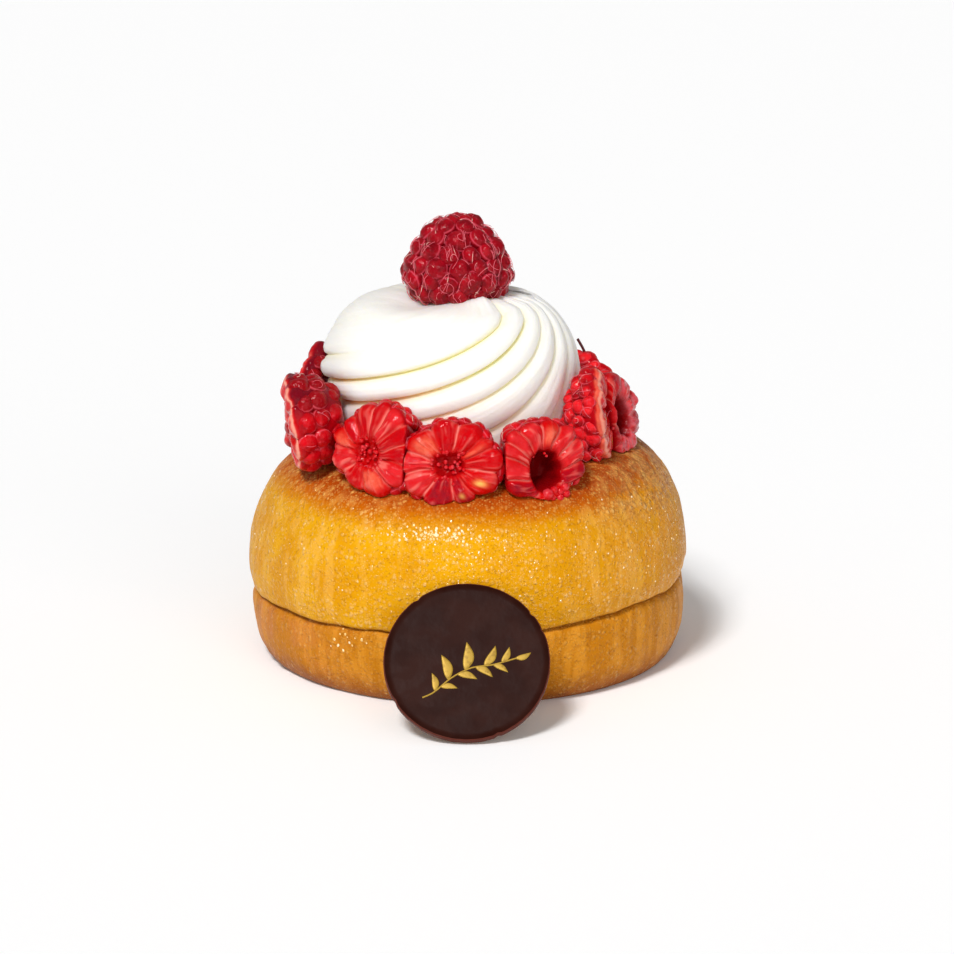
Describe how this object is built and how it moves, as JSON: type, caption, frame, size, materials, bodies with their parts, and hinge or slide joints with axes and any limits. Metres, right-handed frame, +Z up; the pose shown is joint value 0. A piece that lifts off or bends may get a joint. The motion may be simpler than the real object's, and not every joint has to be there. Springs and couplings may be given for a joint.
{
  "type": "savarin",
  "caption": "Single-portion savarin: a soaked, domed ring cake with a whipped cream rosette, a whole raspberry, a ring of cut raspberries and a dark chocolate disc.",
  "frame": {"origin": "middle of the flat foot that the cake rests on", "axes": "+Z up along the cake's axis, +X to the right as seen from the front, +Y from the leaning chocolate disc at the front towards the back"},
  "size_m": [0.0802, 0.0987, 0.0811],
  "materials": {
    "soaked_cake": "golden sponge crust soaked in syrup, finely pored and glossy",
    "whipped_cream": "ivory whipped cream, satin",
    "raspberry": "crimson raspberry skin, velvety with small highlights",
    "cut_raspberry": "moist red raspberry flesh, glossy",
    "dark_chocolate": "dark chocolate, satin"
  },
  "bodies": {
    "root": {"cake": "soaked_cake", "whipped_cream": "whipped_cream", "raspberry_top": "raspberry", "raspberry_cut_01": "cut_raspberry", "raspberry_cut_02": "cut_raspberry", "raspberry_cut_03": "cut_raspberry", "raspberry_cut_04": "cut_raspberry", "raspberry_cut_05": "cut_raspberry", "raspberry_cut_06": "cut_raspberry", "raspberry_cut_07": "cut_raspberry", "raspberry_cut_08": "cut_raspberry", "raspberry_cut_09": "cut_raspberry", "raspberry_cut_10": "cut_raspberry", "raspberry_cut_11": "cut_raspberry", "chocolate_disc": "dark_chocolate"}
  },
  "joints": []
}
